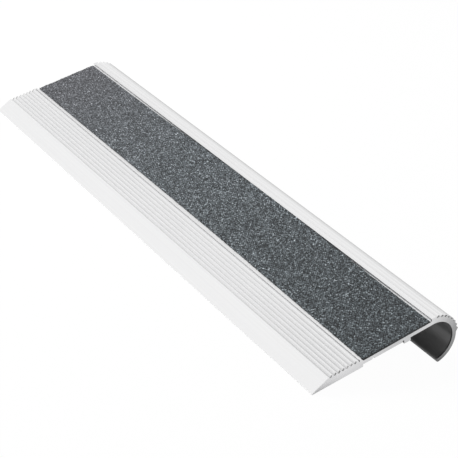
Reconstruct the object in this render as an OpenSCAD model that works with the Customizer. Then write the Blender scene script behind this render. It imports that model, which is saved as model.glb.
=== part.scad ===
// Stair nosing: an extruded aluminium profile with an abrasive insert, for a round-nosed tread.
// X runs along the cut bar and Y from the thin back edge to the nose, with +Z up.
// It lies as it rests on a level floor, on its back edge and on the tip of the hooked nose.

/* [Bar] */
// Cut length of the bar
length = 423.5; // [100:0.5:3000]
// Plate thickness, from the underside of the back edge to the rib crests
plate_t = 5.85; // [5.5:0.05:7]

/* [Back edge] */
// Run of the slope from the back edge to the first crest
ramp_run = 12.4; // [8:0.1:20]
// Height of the blunt back edge
edge_t = 0.75; // [0.4:0.05:1.5]

/* [Ribs] */
// Ribs between the slope and the lip behind the insert
rib_count = 7; // [3:1:10]
// Spacing of the ribs
rib_pitch = 2.9; // [2.5:0.05:4]
// Depth of the grooves of the ribs and of the nose flutes
rib_depth = 1.3; // [0.6:0.1:1.4]
// Run of the side of a rib or flute that faces the nose
rib_front = 1.5; // [1:0.05:1.7]
// Flat crest left on a rib or flute
rib_land = 0.1; // [0.1:0.05:0.4]

/* [Lip] */
// Flat top of the last rib
last_land = 0.8; // [0.2:0.05:1.5]
// Width of the lip behind the insert
lip_w = 1; // [0.8:0.1:2]
// Drop of the lip's top below the rib crests
lip_drop = 0.2; // [0.1:0.05:0.5]
// Depth of the groove between the lip and the last rib
lip_depth = 1.6; // [1:0.1:1.8]
// Run of the lip's own face of that groove
lip_steep = 0.3; // [0.2:0.05:0.5]
// Run of the last rib's face of that groove
lip_slope = 0.8; // [0.5:0.05:2]

/* [Insert] */
// Width of the abrasive insert
insert_w = 49.5; // [30:0.5:75]
// Thickness of the abrasive insert
insert_t = 0.6; // [0.4:0.05:1.2]
// Room beside the insert in its recess, on each side
insert_gap = 1.25; // [0.3:0.05:2]
// Depth of the recess below the rib crests
recess_d = 1.85; // [1.5:0.05:2]
// Width of the undercut at the foot of the lip
undercut_w = 0.4; // [0.2:0.05:0.6]
// Height of that undercut
undercut_h = 0.5; // [0.2:0.05:0.7]

/* [Underside] */
// Slope of the underside of the pads to the top of the plate, in degrees
under_slope = 0.6; // [0:0.1:1]
// Gap from the web to the tread that the pads sit on
web_gap = 1.7; // [0.8:0.05:2]
// How far the rear pad reaches past the lip
pad_past = 0.8; // [0:0.1:3]
// Width of the front pad
front_pad_w = 4.8; // [3:0.1:10]
// Distance from the front pad to the centre line of the nose
front_pad_back = 16.8; // [14:0.1:20]
// Width of the two keying grooves under the web
key_w = 1.1; // [1:0.1:4]
// Depth of the keying grooves
key_d = 1; // [0.4:0.1:1]
// Distance from the rear pad to the first keying groove; the second one meets the front pad
key_back = 7.1; // [3:0.1:20]

/* [Nose] */
// Flat crown between the recess and the centre line of the nose
crown_w = 0.5; // [0.3:0.1:3]
// Radius of the half-round seat for the tread's nose
seat_r = 14.2; // [12:0.1:20]
// Height of the top of that seat above the underside of the back edge
seat_top = 1.45; // [1:0.05:2]
// Wall of the plain front of the nose
nose_wall = 2.7; // [2.4:0.05:3]
// Amount by which that wall thins towards the tip
nose_taper = 0.1; // [0.1:0.05:1]
// Angle below level at which the hooked wall ends
tip_angle = 81.5; // [60:0.5:88]
// Flutes round the nose
flute_count = 8; // [4:1:8]
// Spacing of the flutes, in degrees
flute_pitch = 9.7; // [8.5:0.05:9.8]
// Angle of the first flute below the crown, in degrees
flute_first = 13.2; // [12:0.1:14.5]
// Angle over which the crest below the last flute runs out to the plain wall, in degrees
flute_runout = 8; // [5:0.5:12]

/* [Hidden] */
$fn = 128;

// Levels and places in the section, from the lower corner of the back edge
recess_y = ramp_run + rib_count * rib_pitch + last_land + lip_slope + lip_steep + lip_w;
recess_w = insert_w + 2 * insert_gap;
recess_z = plate_t - recess_d;
lip_z = plate_t - lip_drop;
nose_y = recess_y + recess_w + crown_w;
nose_z = seat_top - seat_r;
crest_r = plate_t - nose_z;
plain_r = seat_r + nose_wall;
rib_rise = rib_pitch - rib_front - rib_land;
flute_rise = crest_r * flute_pitch * PI / 180 - rib_front - rib_land;
last_crest = 90 - flute_first - flute_count * flute_pitch + rib_front / crest_r * 180 / PI;
rear_pad_w = recess_y + pad_past;
front_pad_end = nose_y - front_pad_back;
front_pad_y = front_pad_end - front_pad_w;
front_pad_z = -front_pad_end * tan(under_slope);

// The hooked wall at its tip, measured from the seat's centre
tip_out = sqrt(pow(plain_r, 2) - pow(nose_taper * cos(tip_angle), 2)) - nose_taper * sin(tip_angle);
tip_r = (tip_out - seat_r) / 2;
tip_mid = seat_r + tip_r;
tip_y = nose_y + tip_mid * cos(tip_angle);
tip_z = nose_z - tip_mid * sin(tip_angle);

// The tilt at which the back edge and the tip both touch the floor, and the middle of the resting bar
rest_tilt = asin(tip_r / norm([tip_y, tip_z])) - atan2(tip_z, tip_y);
nose_reach = max(plain_r - nose_taper * sin(rest_tilt), crest_r * cos(last_crest + rest_tilt));
rest_front = nose_y * cos(rest_tilt) - nose_z * sin(rest_tilt) + nose_reach;
rest_back = -edge_t * sin(rest_tilt);
rest_mid = (rest_front + rest_back) / 2;

// How far a cutting shape is carried on past the metal, as a multiple of its own size
over = 2;

// A groove seen end on: its foot at the origin, a face rising forwards over `ahead` and one rising
// backwards over `behind`, both carried on past the surface that it is cut into
module groove(depth, behind, ahead) {
    polygon([
        [0, 0],
        [ahead * over, depth * over],
        [-behind * over, depth * over],
    ]);
}

// The plate before its grooves are cut, from the back edge to the crown of the nose
module plate_blank() {
    polygon([
        [0, 0],
        [front_pad_end, front_pad_z],
        [front_pad_end, seat_top],
        [nose_y, seat_top],
        [nose_y, plate_t],
        [nose_y - crown_w, plate_t],
        [nose_y - crown_w, recess_z],
        [recess_y, recess_z],
        [recess_y, lip_z],
        [recess_y - lip_w - lip_steep, lip_z],
        [recess_y - lip_w - lip_steep, plate_t],
        [ramp_run, plate_t],
        [0, edge_t],
    ]);
}

// What is cut from under the plate: the gap between the pads, and the keying grooves over it
module under_cut() {
    rotate(-under_slope) {
        translate([rear_pad_w, -web_gap])
            square([front_pad_y - rear_pad_w, web_gap * over]);
        for (key_y = [rear_pad_w + key_back, front_pad_y - key_w])
            translate([key_y, 0])
                square([key_w, web_gap + key_d]);
    }
}

// The fluted quarter of the nose, about the seat's centre
module flute_band() {
    difference() {
        intersection() {
            circle(r = crest_r);
            polygon([
                [0, 0],
                [0, crest_r * over],
                [crest_r * over, crest_r * over],
                crest_r * over * [cos(last_crest), sin(last_crest)],
                crest_r * [cos(last_crest), sin(last_crest)],
                (plain_r - nose_taper) * [cos(last_crest - flute_runout), sin(last_crest - flute_runout)],
            ]);
        }
        for (i = [0 : flute_count - 1])
            rotate(-flute_first - i * flute_pitch)
                translate([0, crest_r - rib_depth])
                    groove(rib_depth, rib_front, flute_rise);
    }
}

// The plain hooked wall below the flutes, thinning to a round tip
module hook_wall() {
    intersection() {
        translate([0, nose_taper])
            circle(r = plain_r);
        polygon([
            [0, 0],
            crest_r * over * [cos(tip_angle), -sin(tip_angle)],
            crest_r * over * [1, -1],
            [crest_r * over, 0],
        ]);
    }
    rotate(-tip_angle)
        translate([tip_mid, 0])
            circle(r = tip_r);
}

// The nose, fluted above and plain below, hollowed to seat the tread
module nose() {
    translate([nose_y, nose_z])
        difference() {
            union() {
                flute_band();
                hook_wall();
            }
            circle(r = seat_r);
        }
}

// The whole section of the extrusion, with the top of the plate along Y
module section() {
    difference() {
        union() {
            plate_blank();
            nose();
        }
        for (i = [0 : rib_count - 1])
            translate([ramp_run + i * rib_pitch + rib_front, plate_t - rib_depth])
                groove(rib_depth, rib_front, rib_rise);
        translate([recess_y - lip_w - lip_steep, plate_t - lip_depth])
            groove(lip_depth, lip_slope, lip_steep);
        translate([recess_y - undercut_w, recess_z])
            square([undercut_w + insert_gap, undercut_h]);
        under_cut();
    }
}

// Draws a section out to the cut length and lays it down as it rests
module lay() {
    translate([-length / 2, -rest_mid, 0])
        rotate([rest_tilt, 0, 0])
            rotate([90, 0, 90])
                linear_extrude(height = length)
                    children();
}

module nosing_profile() {
    color("silver")
        lay()
            section();
}

module grit_insert() {
    color("slategray")
        lay()
            translate([recess_y + insert_gap, recess_z])
                square([insert_w, insert_t]);
}

nosing_profile();
grit_insert();
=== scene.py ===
# Looks of a stair nosing: the extruded bar with its saw-cut ends, the grit insert, the floor and the light.
# Lengths are in metres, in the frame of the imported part: X along the bar, Y from the back edge to the
# nose, Z up from the floor. The near end of the bar is the one at high X.
import math

import bpy
import numpy as np
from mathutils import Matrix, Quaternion, Vector


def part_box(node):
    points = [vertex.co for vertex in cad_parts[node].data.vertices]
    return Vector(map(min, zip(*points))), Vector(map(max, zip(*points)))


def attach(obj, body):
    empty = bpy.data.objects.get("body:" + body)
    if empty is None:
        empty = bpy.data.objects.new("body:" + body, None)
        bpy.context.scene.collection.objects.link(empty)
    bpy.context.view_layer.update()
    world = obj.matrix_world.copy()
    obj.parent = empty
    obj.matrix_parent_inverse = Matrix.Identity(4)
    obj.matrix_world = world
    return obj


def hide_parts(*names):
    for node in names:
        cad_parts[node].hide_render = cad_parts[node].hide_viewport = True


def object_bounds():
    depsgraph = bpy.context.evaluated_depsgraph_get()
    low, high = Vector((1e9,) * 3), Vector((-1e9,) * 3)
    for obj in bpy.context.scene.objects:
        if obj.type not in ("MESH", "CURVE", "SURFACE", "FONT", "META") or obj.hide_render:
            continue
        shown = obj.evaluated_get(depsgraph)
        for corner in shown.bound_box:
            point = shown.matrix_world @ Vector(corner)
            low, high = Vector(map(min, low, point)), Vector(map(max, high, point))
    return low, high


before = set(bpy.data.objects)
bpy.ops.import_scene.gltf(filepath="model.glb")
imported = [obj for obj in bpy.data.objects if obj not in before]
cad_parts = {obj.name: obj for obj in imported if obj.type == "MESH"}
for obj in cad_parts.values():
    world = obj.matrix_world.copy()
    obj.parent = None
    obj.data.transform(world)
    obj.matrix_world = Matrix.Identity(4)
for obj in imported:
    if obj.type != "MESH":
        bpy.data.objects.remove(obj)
cad_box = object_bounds()

MM = 0.001
BODY = "root"
BAR_NODE = "nosing_profile"
GRIT_NODE = "grit_insert"
BACK, FRONT = (corner[1] for corner in cad_box)

# Camera: its place, the point of the floor that it looks at, its roll and its lens
CAMERA_PLACE = Vector((0.70207, -0.49206, 0.42426))
CAMERA_AIM = Vector((0.02116, 0.01468, 0.0))
CAMERA_ROLL = math.radians(8.289)
LENS_MM = 107.95
SENSOR_MM = 36.0

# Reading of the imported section: how close to the end a point of the cut is, the digits of a millimetre that
# tell two corners apart, the turn below which the outline is straight, and how alike the radii of an arc are
END_SLACK = 1e-6
CORNER_DIGITS = 5
STRAIGHT_TURN = 1e-3
SAME_RADIUS = 0.03

# Bar: the turn from which the die's corners are rounded, their radius, the share of a side that one may take
# up, the break of the sawn edge, the steps of the mesh, and the numbers of the two materials
SHARP_TURN = math.radians(22)
CORNER_R = 0.2 * MM
CORNER_ROOM = 0.4
CORNER_STEPS = 3
SAW_BREAK = 0.05 * MM
ARC_STEP = math.radians(3)
BAR_STEPS = 24
BAR_CREASE = math.radians(40)
SIDE, CUT = 0, 1

# Mill finish: how the die lines and the sheen are drawn out along the bar, their noise, the colours of the
# lines, their strength and depth, and the range of the roughness
LINES_DRAWN = (5.0, 2400.0, 2400.0)
LINES_NOISE = (1.0, 4.0, 0.6)
LINES_COLOURS = [(0.25, (0.86, 0.86, 0.865, 1)), (0.75, (0.92, 0.92, 0.922, 1))]
LINES_BUMP = (0.35, 0.02 * MM)
SHEEN_DRAWN = (0.3, 1.0, 1.0)
SHEEN_SCALE = 90.0
MILL_ROUGH = (0.26, 0.40)

# Grooves of the bar: how far to look for their edges, their depth, the painted shade in them beside the open
# faces at the near end and further on, and how far the change from one painted shade to the other runs
GROOVE_REACH = 2.6 * MM
GROOVE_DEPTH = 1.1 * MM
GROOVE_SHADE_TONES = (0.86, 0.925)
GROOVE_FADE = 120 * MM

# Hollow of the hook: its depth, the painted shade of its wall by the share of that depth, lighter at
# mid-depth where a painted highlight band lies, how much rougher it is than the open faces, and the shares
# of the depth between which it gets rougher
HOLLOW_DEPTH = 20 * MM
HOLLOW_SHADE_TONES = [
    (0.11, 1.0),
    (0.15, 0.48),
    (0.24, 0.62),
    (0.36, 1.0),
    (0.60, 1.0),
    (0.75, 0.82),
    (0.93, 0.75),
    (1.00, 0.58),
]
HOLLOW_ROUGH = 0.4
HOLLOW_ROUGH_RANGE = (0.11, 0.3)

# Nose: where along Y the plate passes into it, where the painted shade on its front starts and is darkest,
# and the tone of that painted shade between those places
NOSE_RANGE = (FRONT - 23.6 * MM, FRONT - 22.6 * MM)
FRONT_SHADE_RANGE = (FRONT - 12.1 * MM, FRONT - 6.1 * MM)
FRONT_SHADE_TONES = [(0.0, 1.0), (0.4, 0.79), (1.0, 0.70)]

# Painted shade on the inside of the hook close to its tip: the shares of the hollow's depth between which
# the inside begins, the height from which the painted shade sets in and the one where it is darkest, and
# its tone there
TIP_INSIDE = (0.0, 0.03)
TIP_RANGE = (7 * MM, 1 * MM)
TIP_SHADE_TONE = 0.55

# Painted shade in the grooves at the cuts: the distances in from the near and from the far cut between
# which it sets in, how far a face leans back to be a rib's back, the shares of a groove's depth between
# which it sets in on the ribs and in the flutes of the nose, its patches, and its tone on the ribs and in
# the flutes
GROOVE_END_SHADE_NEAR = (1.5 * MM, 0.6 * MM)
GROOVE_END_SHADE_FAR = (1.4 * MM, 0.0)
GROOVE_END_SHADE_BACKS = (-0.15, -0.45)
GROOVE_END_SHADE_RIBS = (0.01, 0.1)
GROOVE_END_SHADE_FLUTES = (0.05, 0.4)
GROOVE_END_SHADE_SCALE = 150.0
GROOVE_END_SHADE_PATCHES = (0.25, 0.6)
GROOVE_END_SHADE_TONES = [(0.0, 0.16), (1.0, 0.08)]

# Saw cut: the blade's centre, the noise of the arcs that it left, their colours, strength and depth, and the
# smear over them with its range of roughness
BLADE_CENTRE = (0.0, 0.09, -0.13)
ARCS_NOISE = (2600.0, 3.0, 0.65)
ARCS_COLOURS = [(0.3, (0.80, 0.80, 0.81, 1)), (0.7, (0.92, 0.92, 0.925, 1))]
ARCS_BUMP = (0.5, 0.03 * MM)
SMEAR_SCALE = 260.0
SMEAR_ROUGH = (0.36, 0.56)

# Painted shade on the saw cut from the back edge to the tip of the hook, by distance forwards less a share
# of height: lightest at the back edge, darkest at the tip
CUT_SLANT = 0.35
CUT_RANGE = (BACK + 17.6 * MM, FRONT - 2.6 * MM)
CUT_SHADE_TONES = [
    (0.0, 0.97),
    (0.14, 0.865),
    (0.38, 0.725),
    (0.48, 0.74),
    (0.65, 0.85),
    (0.90, 0.44),
    (1.0, 0.30),
]

# Grit: the step of the mesh, the size of a grain and the spare cells round the field of grains, their relief
# and the share of it that lies below the strip's face, the ranges of a grain's place in its cell and of its
# height, its lean, how much of its tint is left to chance, and the width of the gap beside it
GRIT_STEP = 0.48 * MM
GRIT_CREASE = math.radians(70)
GRIT_SEED = 41
GRAIN = 0.95 * MM
GRAIN_SPARE = 4
GRAIN_RELIEF = 0.58 * MM
GRAIN_LEVEL = 0.45
GRAIN_PLACE = (0.1, 0.9)
GRAIN_HEIGHT = (0.25, 1.0)
GRAIN_TILT = 0.45
GRAIN_TINT = 0.52
GRAIN_GAP = 0.45

# Edges of the strip: how ragged its long sides are, and over which width and how far its front edge sinks
# away at both ends of the bar
EDGE_RAG = 0.12 * MM
EDGE_THIN = 1.0 * MM
EDGE_DROP = 0.36 * MM

# Curl of the front edge where the strip bows most: its height and width, how uneven it is and in which
# steps, how far it is pressed against the wall, and how much of the raggedness it takes out
CURL = 1.4 * MM
CURL_RUN = 3.0 * MM
CURL_UNEVEN = 0.3
CURL_STEP = 2.5 * MM
CURL_PRESS = 0.14 * MM
CURL_CALM = 0.7

# Ends of the strip: how ragged the far one is and in which steps, and the painted shade along both and
# over which width
END_RAG = 0.45 * MM
END_RAG_STEP = 5 * MM
END_PAINTED_SHADE = 0.25
END_PAINTED_SHADE_RUN = 1.5 * GRIT_STEP

# Lie of the strip in its recess: how far it has moved towards the nose at its near and far ends, how far it
# bows in between, where along the bar the bow is widest, how much its back edge has shrunk from there on,
# and how far its front edge has crept out
DRIFT_NEAR = 0.33 * MM
DRIFT_FAR = 0.20 * MM
BOW = 0.70 * MM
BOW_PLACE = 0.41
SHRINK = 0.58 * MM
CREEP = 0.08 * MM

# Colours of the grains by their tint, and the tone from the gaps between them up to their tops, the dark
# of the gaps being partly resin and partly painted shade
GRAIN_COLOURS = [
    (0.0, (0.018, 0.020, 0.022, 1)),
    (0.35, (0.086, 0.097, 0.106, 1)),
    (0.7, (0.275, 0.313, 0.337, 1)),
    (0.92, (0.54, 0.60, 0.64, 1)),
    (1.0, (0.82, 0.88, 0.94, 1)),
]
GAP_RESIN_AND_SHADE_TONES = [(0.0, 0.3), (0.8, 1.0)]

# Finest chips of the grit: their scale, the turn of their longer side and how far they are drawn out along
# it, their tones, strength and depth, and the noise and range of the roughness
CHIP_SCALE = 1500.0
CHIP_LAY = (0.0, 0.0, math.radians(43))
CHIP_DRAWN = (0.7, 1.0, 1.0)
CHIP_TONES = [(0.0, 0.15), (0.5, 0.55), (0.85, 1.0)]
CHIP_BUMP = (0.9, 0.2 * MM)
GRIT_NOISE = (3500.0, 2.0)
GRIT_ROUGH = (0.45, 0.75)

# Painted shade on the grit along the strip, from its near end to its far end, darkest at the near end
GRIT_SHADE_ALONG = [
    (0.0, (0.725, 0.740, 0.740, 1)),
    (0.3, (0.90, 0.905, 0.905, 1)),
    (0.6, (1.0, 0.99, 0.99, 1)),
    (0.8, (0.945, 0.91, 0.915, 1)),
    (1.0, (0.90, 0.825, 0.835, 1)),
]

# Dust on the grit: its tone, where along the strip it sets in and is thickest, and its share there
DUST_TONE = (0.098, 0.106, 0.113, 1)
DUST_RANGE = (0.5, 1.0)
DUST_SHARE = 0.26

# Floor: its reach, its mottle, how plainly white the camera sees it, how much the metal sees it glow under
# the bar, and how far beyond the bar's sides and ends that dim part reaches
FLOOR_REACH = 4.0
FLOOR_SCALE = 30.0
FLOOR_TONES = [(0.3, 0.91), (0.7, 0.93)]
FLOOR_CAMERA_SHARE = 0.975
UNDER_GLOW = 0.12
DIM_SIDE = (0.08, 0.20)
DIM_END = (0.0, 0.012)

# Sky: how bright the camera and the metal see it, how bright it is for matt faces, the middle and half width
# of its gap by the direction's Y, and the tone of that gap
SKY_SEEN = 1.0
SKY_FILL = 0.3
SKY_GAP = 0.12
SKY_GAP_HALF = 0.18
SKY_GAP_TONE = 0.80

# Lamp: its place, its side and its power
LAMP_PLACE = Vector((-0.8, -0.45, 0.95))
LAMP_SIDE = 0.8
LAMP_WATTS = 23.0


def unit(vector):
    return vector / np.linalg.norm(vector)


def node_points(name):
    """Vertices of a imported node, as an array of rows."""
    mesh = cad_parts[name].data
    points = np.zeros(len(mesh.vertices) * 3)
    mesh.vertices.foreach_get("co", points)
    return points.reshape(-1, 3)


# Section of the bar

def cut_outline(name):
    """The bar's section at its near cut end: points (y, z) in order, anticlockwise as seen from outside."""
    points = node_points(name)
    at_end = points[:, 0] > points[:, 0].max() - END_SLACK
    keys = [tuple(np.round(p[1:] / MM, CORNER_DIGITS)) for p in points]
    edges = set()
    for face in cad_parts[name].data.polygons:
        corners = list(face.vertices)
        if all(at_end[i] for i in corners):
            edges |= {(keys[a], keys[b]) for a, b in zip(corners, corners[1:] + corners[:1])}
    after = {a: b for a, b in edges if (b, a) not in edges}
    outline = [min(after)]
    while after[outline[-1]] != outline[0]:
        outline.append(after[outline[-1]])
    return np.array(outline) * MM


def turns(outline):
    """Signed turn of the outline at each point, in radians."""
    before = outline - np.roll(outline, 1, axis=0)
    ahead = np.roll(outline, -1, axis=0) - outline
    cross = before[:, 0] * ahead[:, 1] - before[:, 1] * ahead[:, 0]
    return np.arctan2(cross, (before * ahead).sum(1))


def without_straight_points(outline):
    return outline[np.abs(turns(outline)) > STRAIGHT_TURN]


def circle_through(a, b, c):
    """Centre and radius of the circle through three points."""
    rows = 2 * np.array([b - a, c - a])
    centre = np.linalg.solve(rows, np.array([b @ b - a @ a, c @ c - a @ a]))
    return centre, np.linalg.norm(a - centre)


def arc_points(a, b, centre):
    """Points from a to b round the centre, without b."""
    start, end = (math.atan2(*(p - centre)[::-1]) for p in (a, b))
    sweep = (end - start + math.pi) % math.tau - math.pi
    steps = max(1, math.ceil(abs(sweep) / ARC_STEP))
    radius = np.linalg.norm(a - centre)
    angles = start + sweep * np.arange(steps) / steps
    return centre + radius * np.column_stack([np.cos(angles), np.sin(angles)])


def arc_centres(outline):
    """Centre of the circle for each side of the outline that lies on one, by the side's first point."""
    count = len(outline)
    turn = turns(outline)
    circles = {}
    for i in range(count):
        if abs(turn[i]) < SHARP_TURN:
            circles[i] = circle_through(outline[i - 1], outline[i], outline[(i + 1) % count])
    centres = {}
    for i, (centre, radius) in circles.items():
        for j in ((i - 1) % count, (i + 1) % count):
            if j in circles and abs(circles[j][1] / radius - 1) < SAME_RADIUS and turn[i] * turn[j] > 0:
                centres.setdefault((i - 1) % count, centre)
                centres.setdefault(i, centre)
    return centres


def with_round_arcs(outline):
    """Sets more points on the stretches that lie on one circle, so that they are round again."""
    centres = arc_centres(outline)
    pieces = []
    for i, (a, b) in enumerate(zip(outline, np.roll(outline, -1, axis=0))):
        pieces.append(arc_points(a, b, centres[i]) if i in centres else a[None])
    return np.concatenate(pieces)


def with_round_corners(outline):
    """Takes the sharp corners off, as the die leaves them."""
    turn = turns(outline)
    rounded = []
    for i, corner in enumerate(outline):
        if abs(turn[i]) < SHARP_TURN:
            rounded.append(corner[None])
            continue
        back = outline[i - 1] - corner
        ahead = outline[(i + 1) % len(outline)] - corner
        room = CORNER_ROOM * min(np.linalg.norm(back), np.linalg.norm(ahead))
        reach = min(CORNER_R * math.tan(abs(turn[i]) / 2), room)
        start, end = corner + unit(back) * reach, corner + unit(ahead) * reach
        t = np.linspace(0, 1, CORNER_STEPS + 1)[:, None]
        rounded.append((1 - t) ** 2 * start + 2 * t * (1 - t) * corner + t ** 2 * end)
    return np.concatenate(rounded)


def inward_sides(outline):
    """Unit vector into the outline from each of its sides."""
    ahead = np.roll(outline, -1, axis=0) - outline
    return np.column_stack([-ahead[:, 1], ahead[:, 0]]) / np.linalg.norm(ahead, axis=1)[:, None]


def inset(outline, depth):
    """The outline moved inwards by a small depth, with its corners kept sharp."""
    inward = inward_sides(outline)
    before = np.roll(inward, 1, axis=0)
    return outline + depth * (before + inward) / (1 + (before * inward).sum(1))[:, None]


def hull(points):
    """Corners of the convex hull, anticlockwise."""
    def half(ordered):
        chain = []
        for p in ordered:
            while len(chain) > 1 and np.linalg.det([chain[-1] - chain[-2], p - chain[-1]]) <= 0:
                chain.pop()
            chain.append(p)
        return chain[:-1]

    ordered = points[np.lexsort(points.T[::-1])]
    return np.array(half(ordered) + half(ordered[::-1]))


def hollow_depth(outline):
    """How deep each point of the outline lies inside the hull of the section."""
    corners = hull(outline)
    return ((outline[:, None] - corners[None]) * inward_sides(corners)[None]).sum(2).min(1)


def groove_depth(outline):
    """How deep each point lies below a straight edge laid across the outline close to it."""
    count = len(outline)
    ahead = np.linalg.norm(np.roll(outline, -1, axis=0) - outline, axis=1)
    run = np.concatenate([[0.0], np.cumsum(ahead)])
    depth = np.zeros(count)
    for i in range(count):
        away = (run[:-1] - run[i] + run[-1] / 2) % run[-1] - run[-1] / 2
        before = outline[(away < 0) & (away > -GROOVE_REACH)]
        after = outline[(away > 0) & (away < GROOVE_REACH)]
        if len(before) == 0 or len(after) == 0:
            continue
        span = after[None] - before[:, None]
        offset = outline[i] - before[:, None]
        below = span[..., 0] * offset[..., 1] - span[..., 1] * offset[..., 0]
        depth[i] = max(0.0, (below / np.linalg.norm(span, axis=2)).max())
    return depth


# Meshes

def add_layer(piece, name, values):
    """A named value at each point of a piece, for its material."""
    layer = piece.data.attributes.new(name, "FLOAT", "POINT")
    layer.data.foreach_set("value", values.astype(np.float32))


def new_piece(name, points, faces, materials, face_material, node):
    """A smooth-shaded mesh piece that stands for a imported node."""
    mesh = bpy.data.meshes.new(name)
    mesh.from_pydata([tuple(p) for p in points], [], faces)
    for material in materials:
        mesh.materials.append(material)
    mesh.polygons.foreach_set("material_index", face_material)
    mesh.polygons.foreach_set("use_smooth", [True] * len(mesh.polygons))
    mesh.update()
    piece = bpy.data.objects.new(name, mesh)
    bpy.context.scene.collection.objects.link(piece)
    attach(piece, BODY)
    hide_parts(node)
    return piece


def closed_tube(rings, count):
    """Faces of a tube of rings, closed at both ends, and the number of the material of each."""
    index = np.arange(rings * count).reshape(rings, count)
    beside = np.roll(index, -1, axis=1)
    walls = np.stack([index[:-1], beside[:-1], beside[1:], index[1:]], axis=-1).reshape(-1, 4)
    face_material = np.full((rings - 1, count), SIDE)
    face_material[[0, -1]] = CUT
    faces = walls.tolist() + [index[0, ::-1].tolist(), index[-1].tolist()]
    return faces, face_material.ravel().tolist() + [CUT, CUT]


def bar_piece(sides, ends):
    """The extruded bar: its section drawn along X, with a slightly broken edge at both saw cuts."""
    drawn = with_round_arcs(without_straight_points(cut_outline(BAR_NODE)))
    outline = with_round_corners(drawn)
    end_outline = with_round_corners(inset(drawn, SAW_BREAK))
    low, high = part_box(BAR_NODE)
    stations = np.linspace(low.x + SAW_BREAK, high.x - SAW_BREAK, BAR_STEPS + 1)
    rings = [(low.x, end_outline)] + [(x, outline) for x in stations] + [(high.x, end_outline)]
    points = np.concatenate([np.column_stack([np.full(len(ring), x), ring]) for x, ring in rings])
    faces, face_material = closed_tube(len(rings), len(outline))
    bar = new_piece("extruded_bar", points, faces, [sides, ends], face_material, BAR_NODE)
    add_layer(bar, "hollow", np.tile(hollow_depth(outline), len(rings)))
    add_layer(bar, "groove", np.tile(groove_depth(outline), len(rings)))
    bar.data.set_sharp_from_angle(angle=BAR_CREASE)
    evened = bar.modifiers.new("even_normals", "WEIGHTED_NORMAL")
    evened.keep_sharp = True
    return bar


def strip_axes():
    """Axes of the strip, one to a row: along the bar, across it towards the nose, and up off the plate."""
    widest = max(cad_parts[GRIT_NODE].data.polygons, key=lambda face: face.area)
    up = np.array(widest.normal) * math.copysign(1, widest.normal.z)
    return np.array([[1.0, 0.0, 0.0], [0.0, up[2], -up[1]], up])


def strip_bow(along):
    """Share of the strip's bow, along from 0 near to 1 far."""
    return np.sin(math.pi * along ** (math.log(0.5) / math.log(BOW_PLACE))) ** 2


def strip_drift(along, over):
    """How far the strip has moved to the nose, along from 0 near to 1 far, over from 0 back to 1 front."""
    shrunk = SHRINK * np.minimum(along / BOW_PLACE, 1) * (1 - over)
    return DRIFT_NEAR + (DRIFT_FAR - DRIFT_NEAR) * along + BOW * strip_bow(along) + shrunk + CREEP * over


def uneven(place, spacing, rng):
    """A random value from 0 to 1 for each place, in straight runs between points one spacing apart."""
    knots = np.arange(place.min(), place.max() + spacing, spacing)
    return np.interp(place, knots, rng.uniform(0, 1, len(knots)))


def loose_grains(columns, rows, rng):
    """Random grains, one to a cell of a grid: the place in its cell, height, tint and lean of each."""
    jitter = rng.uniform(*GRAIN_PLACE, (columns, rows, 2))
    height = rng.uniform(*GRAIN_HEIGHT, (columns, rows))
    paler = np.add.outer(np.arange(columns), np.arange(rows)) % 2
    tint = rng.uniform(0.0, GRAIN_TINT, (columns, rows)) + (1 - GRAIN_TINT) * paler
    lean = rng.normal(0.0, GRAIN_TILT, (columns, rows, 2))
    return jitter, height, tint, lean


def grain_field(u, v, rng):
    """For places (u, v): 0 in a gap to 1 on a grain, and the height and tint of the nearest grain."""
    columns, rows = (int(reach.max() / GRAIN) + GRAIN_SPARE for reach in (u, v))
    jitter, height, tint, lean = loose_grains(columns, rows, rng)
    place = np.column_stack([u, v]) / GRAIN + 1
    cell = place.astype(int)
    nearest, second = np.full((2, len(u)), np.inf)
    top, shade = np.zeros((2, len(u)))
    for du in (-1, 0, 1):
        for dv in (-1, 0, 1):
            c, r = cell[:, 0] + du, cell[:, 1] + dv
            away = place - np.column_stack([c, r]) - jitter[c, r]
            distance = np.hypot(away[:, 0], away[:, 1])
            closer = distance < nearest
            second = np.where(closer, nearest, np.minimum(second, distance))
            top = np.where(closer, height[c, r] + (away * lean[c, r]).sum(1), top)
            shade = np.where(closer, tint[c, r], shade)
            nearest = np.where(closer, distance, nearest)
    clear = np.clip((second - nearest) / GRAIN_GAP, 0, 1)
    return clear * clear * (3 - 2 * clear), top, shade


def closed_sheet(columns, rows):
    """Faces of a closed sheet, and the rim of its upper grid, which the points of its underside follow."""
    index = np.arange(columns * rows).reshape(columns, rows)
    rim = np.concatenate([index[:, 0], index[-1, 1:], index[-2::-1, -1], index[0, -2:0:-1]])
    foot = index.size + np.arange(len(rim))
    corners = [index[:-1, :-1], index[1:, :-1], index[1:, 1:], index[:-1, 1:]]
    upper = np.stack(corners, axis=-1).reshape(-1, 4)
    walls = np.column_stack([foot, np.roll(foot, -1), np.roll(rim, -1), rim])
    return upper.tolist() + walls.tolist() + [foot[::-1].tolist()], rim


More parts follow.
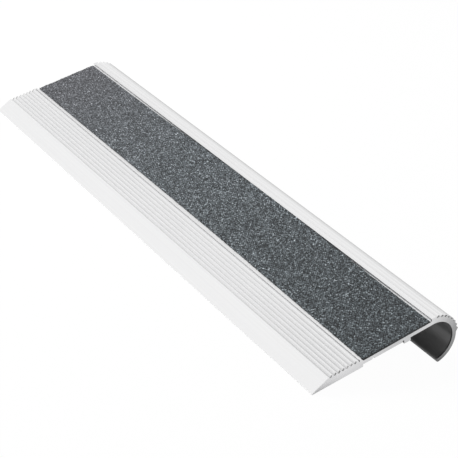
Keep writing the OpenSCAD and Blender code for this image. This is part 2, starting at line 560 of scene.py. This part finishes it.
def strip_shape(x, v, grain, rng):
    """The strip's points as they lie along and across the bar, and how far they rise off the plain strip."""
    along = (x.max() - x) / (x.max() - x.min())
    over = (v - v.min()) / (v.max() - v.min())
    to_front = v.max() - v
    bow = strip_bow(along)
    thin = np.clip(1 - to_front / EDGE_THIN, 0, 1) * (1 - bow)
    bent = np.clip(1 - to_front / CURL_RUN, 0, 1) ** 2 * bow ** 3
    curl = CURL * (1 - CURL_UNEVEN * uneven(x, CURL_STEP, rng)) * bent
    rise = GRAIN_RELIEF * (grain - GRAIN_LEVEL) * (1 - thin) - EDGE_DROP * thin + curl
    on_edge = (v <= v.min()) | (v >= v.max())
    rag = np.where(on_edge, rng.uniform(-EDGE_RAG, EDGE_RAG, len(v)), 0.0) * (1 - CURL_CALM * bent)
    side = v + strip_drift(along, over) + rag + CURL_PRESS * bent
    ends = x + np.where(x <= x.min(), END_RAG * uneven(v, END_RAG_STEP, rng), 0.0)
    return ends, side, rise


def grit_piece(grit):
    """The abrasive strip: a closed sheet whose upper face is a field of broken grains."""
    rng = np.random.default_rng(GRIT_SEED)
    axes = strip_axes()
    corners = node_points(GRIT_NODE) @ axes.T
    (low_x, low_v, low_w), (high_x, high_v, high_w) = corners.min(axis=0), corners.max(axis=0)
    xs = np.linspace(low_x, high_x, int((high_x - low_x) / GRIT_STEP) + 1)
    vs = np.linspace(low_v, high_v, int((high_v - low_v) / GRIT_STEP) + 1)
    x, v = (grid.ravel() for grid in np.meshgrid(xs, vs, indexing="ij"))
    solid, top, shade = grain_field(x - low_x, v - low_v, rng)
    # Painted shade along both cut ends of the strip, carried in the grains' tint
    shade[np.minimum(x - low_x, high_x - x) < END_PAINTED_SHADE_RUN] *= END_PAINTED_SHADE
    ends, side, rise = strip_shape(x, v, solid * top, rng)
    faces, rim = closed_sheet(len(xs), len(vs))
    upper = np.column_stack([ends, side, high_w + rise])
    lower = np.column_stack([ends, side, np.full(len(x), low_w)])[rim]
    points = np.concatenate([upper, lower]) @ axes
    strip = new_piece("grit_strip", points, faces, [grit], [0] * len(faces), GRIT_NODE)
    add_layer(strip, "grain_tint_and_end_shade", np.concatenate([shade, shade[rim]]))
    add_layer(strip, "grain_solid", np.concatenate([solid, solid[rim]]))
    strip.data.set_sharp_from_angle(angle=GRIT_CREASE)
    return strip


# Shader nodes

def new_material(name):
    material = bpy.data.materials.new(name)
    material.use_nodes = True
    material.node_tree.nodes.clear()
    return material


def add(tree, kind, inputs=None, **settings):
    """A new shader node; an input is a value or another node's socket."""
    node = tree.nodes.new(kind)
    for key, value in settings.items():
        setattr(node, key, value)
    for key, value in (inputs or {}).items():
        if isinstance(value, bpy.types.NodeSocket):
            tree.links.new(value, node.inputs[key])
        else:
            node.inputs[key].default_value = value
    return node


def grey(level):
    return (level, level, level, 1.0)


def ramp(tree, factor, stops):
    """Colours by factor; stops are (position, colour) pairs in order."""
    node = add(tree, "ShaderNodeValToRGB", {"Fac": factor})
    elements = node.color_ramp.elements
    while len(elements) < len(stops):
        elements.new(1.0)
    for element, (position, colour) in zip(elements, stops):
        element.position = position
        element.color = colour
    return node.outputs["Color"]


def tones(tree, factor, stops):
    """Greys by factor; stops are (position, level) pairs in order."""
    return ramp(tree, factor, [(position, grey(level)) for position, level in stops])


def spread(tree, value, low, high):
    """Maps a 0 to 1 value to the range from low to high."""
    inputs = {"Value": value, "To Min": low, "To Max": high}
    return add(tree, "ShaderNodeMapRange", inputs).outputs["Result"]


def step(tree, value, low, high, how="SMOOTHSTEP"):
    """A step from 0 at low to 1 at high, smooth unless said otherwise."""
    inputs = {"Value": value, "From Min": low, "From Max": high}
    return add(tree, "ShaderNodeMapRange", inputs, interpolation_type=how).outputs["Result"]


def straight(tree, value, low, high):
    """A straight rise from 0 at low to 1 at high."""
    return step(tree, value, low, high, "LINEAR")


def maths(tree, operation, first, second=0.0):
    return add(tree, "ShaderNodeMath", {0: first, 1: second}, operation=operation).outputs[0]


def product(tree, first, second):
    return maths(tree, "MULTIPLY", first, second)


def larger(tree, first, second):
    return maths(tree, "MAXIMUM", first, second)


def blended(tree, factor, first, second, how="MIX"):
    """Two colours mixed by a factor."""
    return add(tree, "ShaderNodeMixRGB", {0: factor, 1: first, 2: second}, blend_type=how).outputs[0]


def shaded(tree, colour, *shades):
    """A colour multiplied by each of the shades."""
    for shade in shades:
        colour = blended(tree, 1.0, colour, shade, "MULTIPLY")
    return colour


def attribute(tree, name):
    return add(tree, "ShaderNodeAttribute", attribute_name=name).outputs["Fac"]


def object_place(tree):
    return add(tree, "ShaderNodeTexCoord").outputs["Object"]


def split(tree, vector):
    """The X, Y and Z of a vector, by name."""
    return add(tree, "ShaderNodeSeparateXYZ", {0: vector}).outputs


def drawn_out(tree, place, scale, turn=(0.0, 0.0, 0.0)):
    inputs = {"Vector": place, "Rotation": turn, "Scale": scale}
    return add(tree, "ShaderNodeMapping", inputs).outputs["Vector"]


def noise(tree, place, scale, detail=3.0, roughness=0.55):
    inputs = {"Vector": place, "Scale": scale, "Detail": detail, "Roughness": roughness}
    return add(tree, "ShaderNodeTexNoise", inputs).outputs["Fac"]


def bumped(tree, height, strength, distance):
    inputs = {"Height": height, "Strength": strength, "Distance": distance}
    return add(tree, "ShaderNodeBump", inputs).outputs["Normal"]


def ray_kinds(tree):
    """Whether a ray comes from the camera, and whether it comes off metal or through glass."""
    path = add(tree, "ShaderNodeLightPath").outputs
    return path["Is Camera Ray"], larger(tree, path["Is Glossy Ray"], path["Is Transmission Ray"])


def mixed(tree, factor, first, second):
    return add(tree, "ShaderNodeMixShader", {0: factor, 1: first.outputs[0], 2: second.outputs[0]})


def output(tree, shader):
    add(tree, "ShaderNodeOutputMaterial", {"Surface": shader.outputs[0]})


# Materials

def on_nose(tree, place):
    """0 on the plate, 1 on the nose and its hook."""
    return step(tree, place["Y"], *NOSE_RANGE)


def painted_groove_shade(tree, place, crease, cut):
    """Painted shade in the grooves, darker at the near end than further on."""
    at_end, further = (tones(tree, crease, [(0.0, 1.0), (1.0, tone)]) for tone in GROOVE_SHADE_TONES)
    near = step(tree, place["X"], cut - GROOVE_FADE, cut)
    return blended(tree, near, further, at_end)


def painted_tip_shade(tree, place, hollow):
    """Painted shade on the hook's inside close to its tip."""
    inside = product(tree, step(tree, hollow, *TIP_INSIDE), on_nose(tree, place))
    at_tip = product(tree, inside, step(tree, place["Z"], *TIP_RANGE))
    return tones(tree, at_tip, [(0.0, 1.0), (1.0, TIP_SHADE_TONE)])


def groove_end_shade_layer(tree, place, crease, cut):
    """Where painted shade lies at the cuts: on the rib backs, and near in the flutes; and its tone there."""
    at_near = step(tree, place["X"], *(cut - reach for reach in GROOVE_END_SHADE_NEAR))
    at_far = step(tree, place["X"], *(reach - cut for reach in GROOVE_END_SHADE_FAR))
    nose = on_nose(tree, place)
    normal = split(tree, add(tree, "ShaderNodeNewGeometry").outputs["Normal"])
    on_rib = product(tree, step(tree, normal["Y"], *GROOVE_END_SHADE_BACKS), step(tree, crease, *GROOVE_END_SHADE_RIBS))
    at_cuts = larger(tree, at_near, maths(tree, "SUBTRACT", at_far, nose))
    in_flute = product(tree, nose, step(tree, crease, *GROOVE_END_SHADE_FLUTES))
    there = larger(tree, product(tree, at_cuts, on_rib), product(tree, at_near, in_flute))
    patchy = step(tree, noise(tree, object_place(tree), GROOVE_END_SHADE_SCALE), *GROOVE_END_SHADE_PATCHES)
    return product(tree, there, patchy), tones(tree, nose, GROOVE_END_SHADE_TONES)


def extruded_aluminium():
    """Satin mill aluminium with die lines, painted shade in its grooves, hollow and nose, and a painted
    highlight.
    """
    material = new_material("extruded_aluminium")
    tree = material.node_tree
    whole_place = object_place(tree)
    place = split(tree, whole_place)
    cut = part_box(BAR_NODE)[1].x
    lines = noise(tree, drawn_out(tree, whole_place, LINES_DRAWN), *LINES_NOISE)
    sheen = noise(tree, drawn_out(tree, whole_place, SHEEN_DRAWN), SHEEN_SCALE)
    crease = maths(tree, "DIVIDE", attribute(tree, "groove"), GROOVE_DEPTH)
    hollow = maths(tree, "DIVIDE", attribute(tree, "hollow"), HOLLOW_DEPTH)
    # Die-line colours under painted shade in the grooves, the hollow (with a painted highlight band), the
    # tip's inside and the nose front
    metal = shaded(
        tree,
        ramp(tree, lines, LINES_COLOURS),
        painted_groove_shade(tree, place, crease, cut),
        tones(tree, hollow, HOLLOW_SHADE_TONES),
        painted_tip_shade(tree, place, hollow),
        tones(tree, straight(tree, place["Y"], *FRONT_SHADE_RANGE), FRONT_SHADE_TONES),
    )
    # Painted shade in the groove ends at the cuts, laid over the metal
    groove_end_shade, groove_end_shade_tone = groove_end_shade_layer(tree, place, crease, cut)
    rougher = product(tree, step(tree, hollow, *HOLLOW_ROUGH_RANGE), HOLLOW_ROUGH)
    inputs = {
        "Base Color": blended(tree, groove_end_shade, metal, groove_end_shade_tone),
        "Metallic": 1.0,
        "Roughness": maths(tree, "ADD", spread(tree, sheen, *MILL_ROUGH), rougher),
        "Normal": bumped(tree, lines, *LINES_BUMP),
    }
    output(tree, add(tree, "ShaderNodeBsdfPrincipled", inputs))
    return material


def sawn_aluminium():
    """Aluminium at a saw cut: shallow arcs left by the blade, under painted shade that darkens towards the
    hook.
    """
    material = new_material("sawn_aluminium")
    tree = material.node_tree
    whole_place = object_place(tree)
    place = split(tree, whole_place)
    blade = add(tree, "ShaderNodeVectorMath", {0: whole_place, 1: BLADE_CENTRE}, operation="DISTANCE")
    radius = add(tree, "ShaderNodeCombineXYZ", {"X": blade.outputs["Value"]}).outputs["Vector"]
    arcs = noise(tree, radius, *ARCS_NOISE)
    forward = maths(tree, "SUBTRACT", place["Y"], product(tree, place["Z"], CUT_SLANT))
    painted_cut_shade = tones(tree, straight(tree, forward, *CUT_RANGE), CUT_SHADE_TONES)
    inputs = {
        "Base Color": shaded(tree, ramp(tree, arcs, ARCS_COLOURS), painted_cut_shade),
        "Metallic": 1.0,
        "Roughness": spread(tree, noise(tree, whole_place, SMEAR_SCALE), *SMEAR_ROUGH),
        "Normal": bumped(tree, arcs, *ARCS_BUMP),
    }
    output(tree, add(tree, "ShaderNodeBsdfPrincipled", inputs))
    return material


def abrasive_grit():
    """Dark slate grit in resin: grains of many greys, dark resin and painted shade between them, a few pale
    ones.
    """
    material = new_material("abrasive_grit")
    tree = material.node_tree
    place = object_place(tree)
    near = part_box(GRIT_NODE)[1].x
    to_far = straight(tree, split(tree, place)["X"], near, -near)
    laid = drawn_out(tree, place, CHIP_DRAWN, CHIP_LAY)
    chips = add(tree, "ShaderNodeTexVoronoi", {"Vector": laid, "Scale": CHIP_SCALE}).outputs
    chip_tint = add(tree, "ShaderNodeSeparateColor", {0: chips["Color"]}).outputs[0]
    grains = shaded(
        tree,
        ramp(tree, attribute(tree, "grain_tint_and_end_shade"), GRAIN_COLOURS),
        tones(tree, chip_tint, CHIP_TONES),
        tones(tree, attribute(tree, "grain_solid"), GAP_RESIN_AND_SHADE_TONES),
    )
    dust = product(tree, step(tree, to_far, *DUST_RANGE), DUST_SHARE)
    # Under painted shade along the strip, darkest at its near end
    inputs = {
        "Base Color": shaded(tree, blended(tree, dust, grains, DUST_TONE), ramp(tree, to_far, GRIT_SHADE_ALONG)),
        "Roughness": spread(tree, noise(tree, place, *GRIT_NOISE), *GRIT_ROUGH),
        "Normal": bumped(tree, chips["Distance"], *CHIP_BUMP),
    }
    output(tree, add(tree, "ShaderNodeBsdfPrincipled", inputs))
    return material


def away_from_bar(tree):
    """0 on the floor under and beside the bar, rising to 1 clear of it."""
    place = split(tree, object_place(tree))
    high = cad_box[1]
    past_end = maths(tree, "SUBTRACT", maths(tree, "ABSOLUTE", place["X"]), high[0])
    past_side = maths(tree, "SUBTRACT", maths(tree, "ABSOLUTE", place["Y"]), high[1])
    return larger(tree, step(tree, past_end, *DIM_END), step(tree, past_side, *DIM_SIDE))


def floor_white():
    """Matt white floor, nearly plain white to the camera, and plain white to the metal away from the bar."""
    material = new_material("floor_white")
    tree = material.node_tree
    mottle = tones(tree, noise(tree, object_place(tree), FLOOR_SCALE), FLOOR_TONES)
    matt = add(tree, "ShaderNodeBsdfDiffuse", {"Color": mottle})
    plain = add(tree, "ShaderNodeEmission", {"Color": grey(1.0), "Strength": 1.0})
    from_camera, from_metal = ray_kinds(tree)
    seen = product(tree, from_camera, FLOOR_CAMERA_SHARE)
    mirrored = product(tree, from_metal, larger(tree, away_from_bar(tree), UNDER_GLOW))
    output(tree, mixed(tree, larger(tree, seen, mirrored), matt, plain))
    return material


# Studio

def add_floor():
    mesh = bpy.data.meshes.new("floor")
    reach = FLOOR_REACH
    corners = [(-reach, -reach, 0), (reach, -reach, 0), (reach, reach, 0), (-reach, reach, 0)]
    mesh.from_pydata(corners, [], [(0, 1, 2, 3)])
    mesh.materials.append(floor_white())
    floor = bpy.data.objects.new("floor", mesh)
    bpy.context.scene.collection.objects.link(floor)


def add_sky():
    """A white surround: plain to the camera, with a gap above the bar to the metal, dim to matt faces."""
    world = bpy.data.worlds.new("studio")
    bpy.context.scene.world = world
    world.use_nodes = True
    tree = world.node_tree
    tree.nodes.clear()
    from_camera, from_metal = ray_kinds(tree)
    direction = split(tree, add(tree, "ShaderNodeTexCoord").outputs["Generated"])
    off_gap = maths(tree, "ABSOLUTE", maths(tree, "SUBTRACT", direction["Y"], SKY_GAP))
    clear = larger(tree, step(tree, off_gap, 0.0, SKY_GAP_HALF), from_camera)
    seen = spread(tree, clear, SKY_GAP_TONE * SKY_SEEN, SKY_SEEN)
    strength = spread(tree, larger(tree, from_camera, from_metal), SKY_FILL, seen)
    back = add(tree, "ShaderNodeBackground", {"Color": grey(1.0), "Strength": strength})
    add(tree, "ShaderNodeOutputWorld", {"Surface": back.outputs[0]})


def add_lamp():
    """One large soft lamp beyond the far end and behind the bar, left out of the metal's reflections."""
    data = bpy.data.lights.new("softbox", "AREA")
    data.shape = "SQUARE"
    data.size = LAMP_SIDE
    data.energy = LAMP_WATTS
    lamp = bpy.data.objects.new("softbox", data)
    lamp.location = LAMP_PLACE
    lamp.rotation_euler = (-LAMP_PLACE).to_track_quat("-Z", "Y").to_euler()
    lamp.visible_glossy = False
    bpy.context.scene.collection.objects.link(lamp)


def add_camera():
    data = bpy.data.cameras.new("camera")
    data.lens = LENS_MM
    data.sensor_width = SENSOR_MM
    camera = bpy.data.objects.new("camera", data)
    camera.location = CAMERA_PLACE
    level = (CAMERA_AIM - CAMERA_PLACE).to_track_quat("-Z", "Y")
    camera.rotation_euler = (level @ Quaternion((0, 0, 1), CAMERA_ROLL)).to_euler()
    bpy.context.scene.collection.objects.link(camera)
    bpy.context.scene.camera = camera


bpy.context.scene.view_settings.view_transform = "Standard"
add_camera()
add_sky()
add_lamp()
add_floor()
bar_piece(extruded_aluminium(), sawn_aluminium())
grit_piece(abrasive_grit())
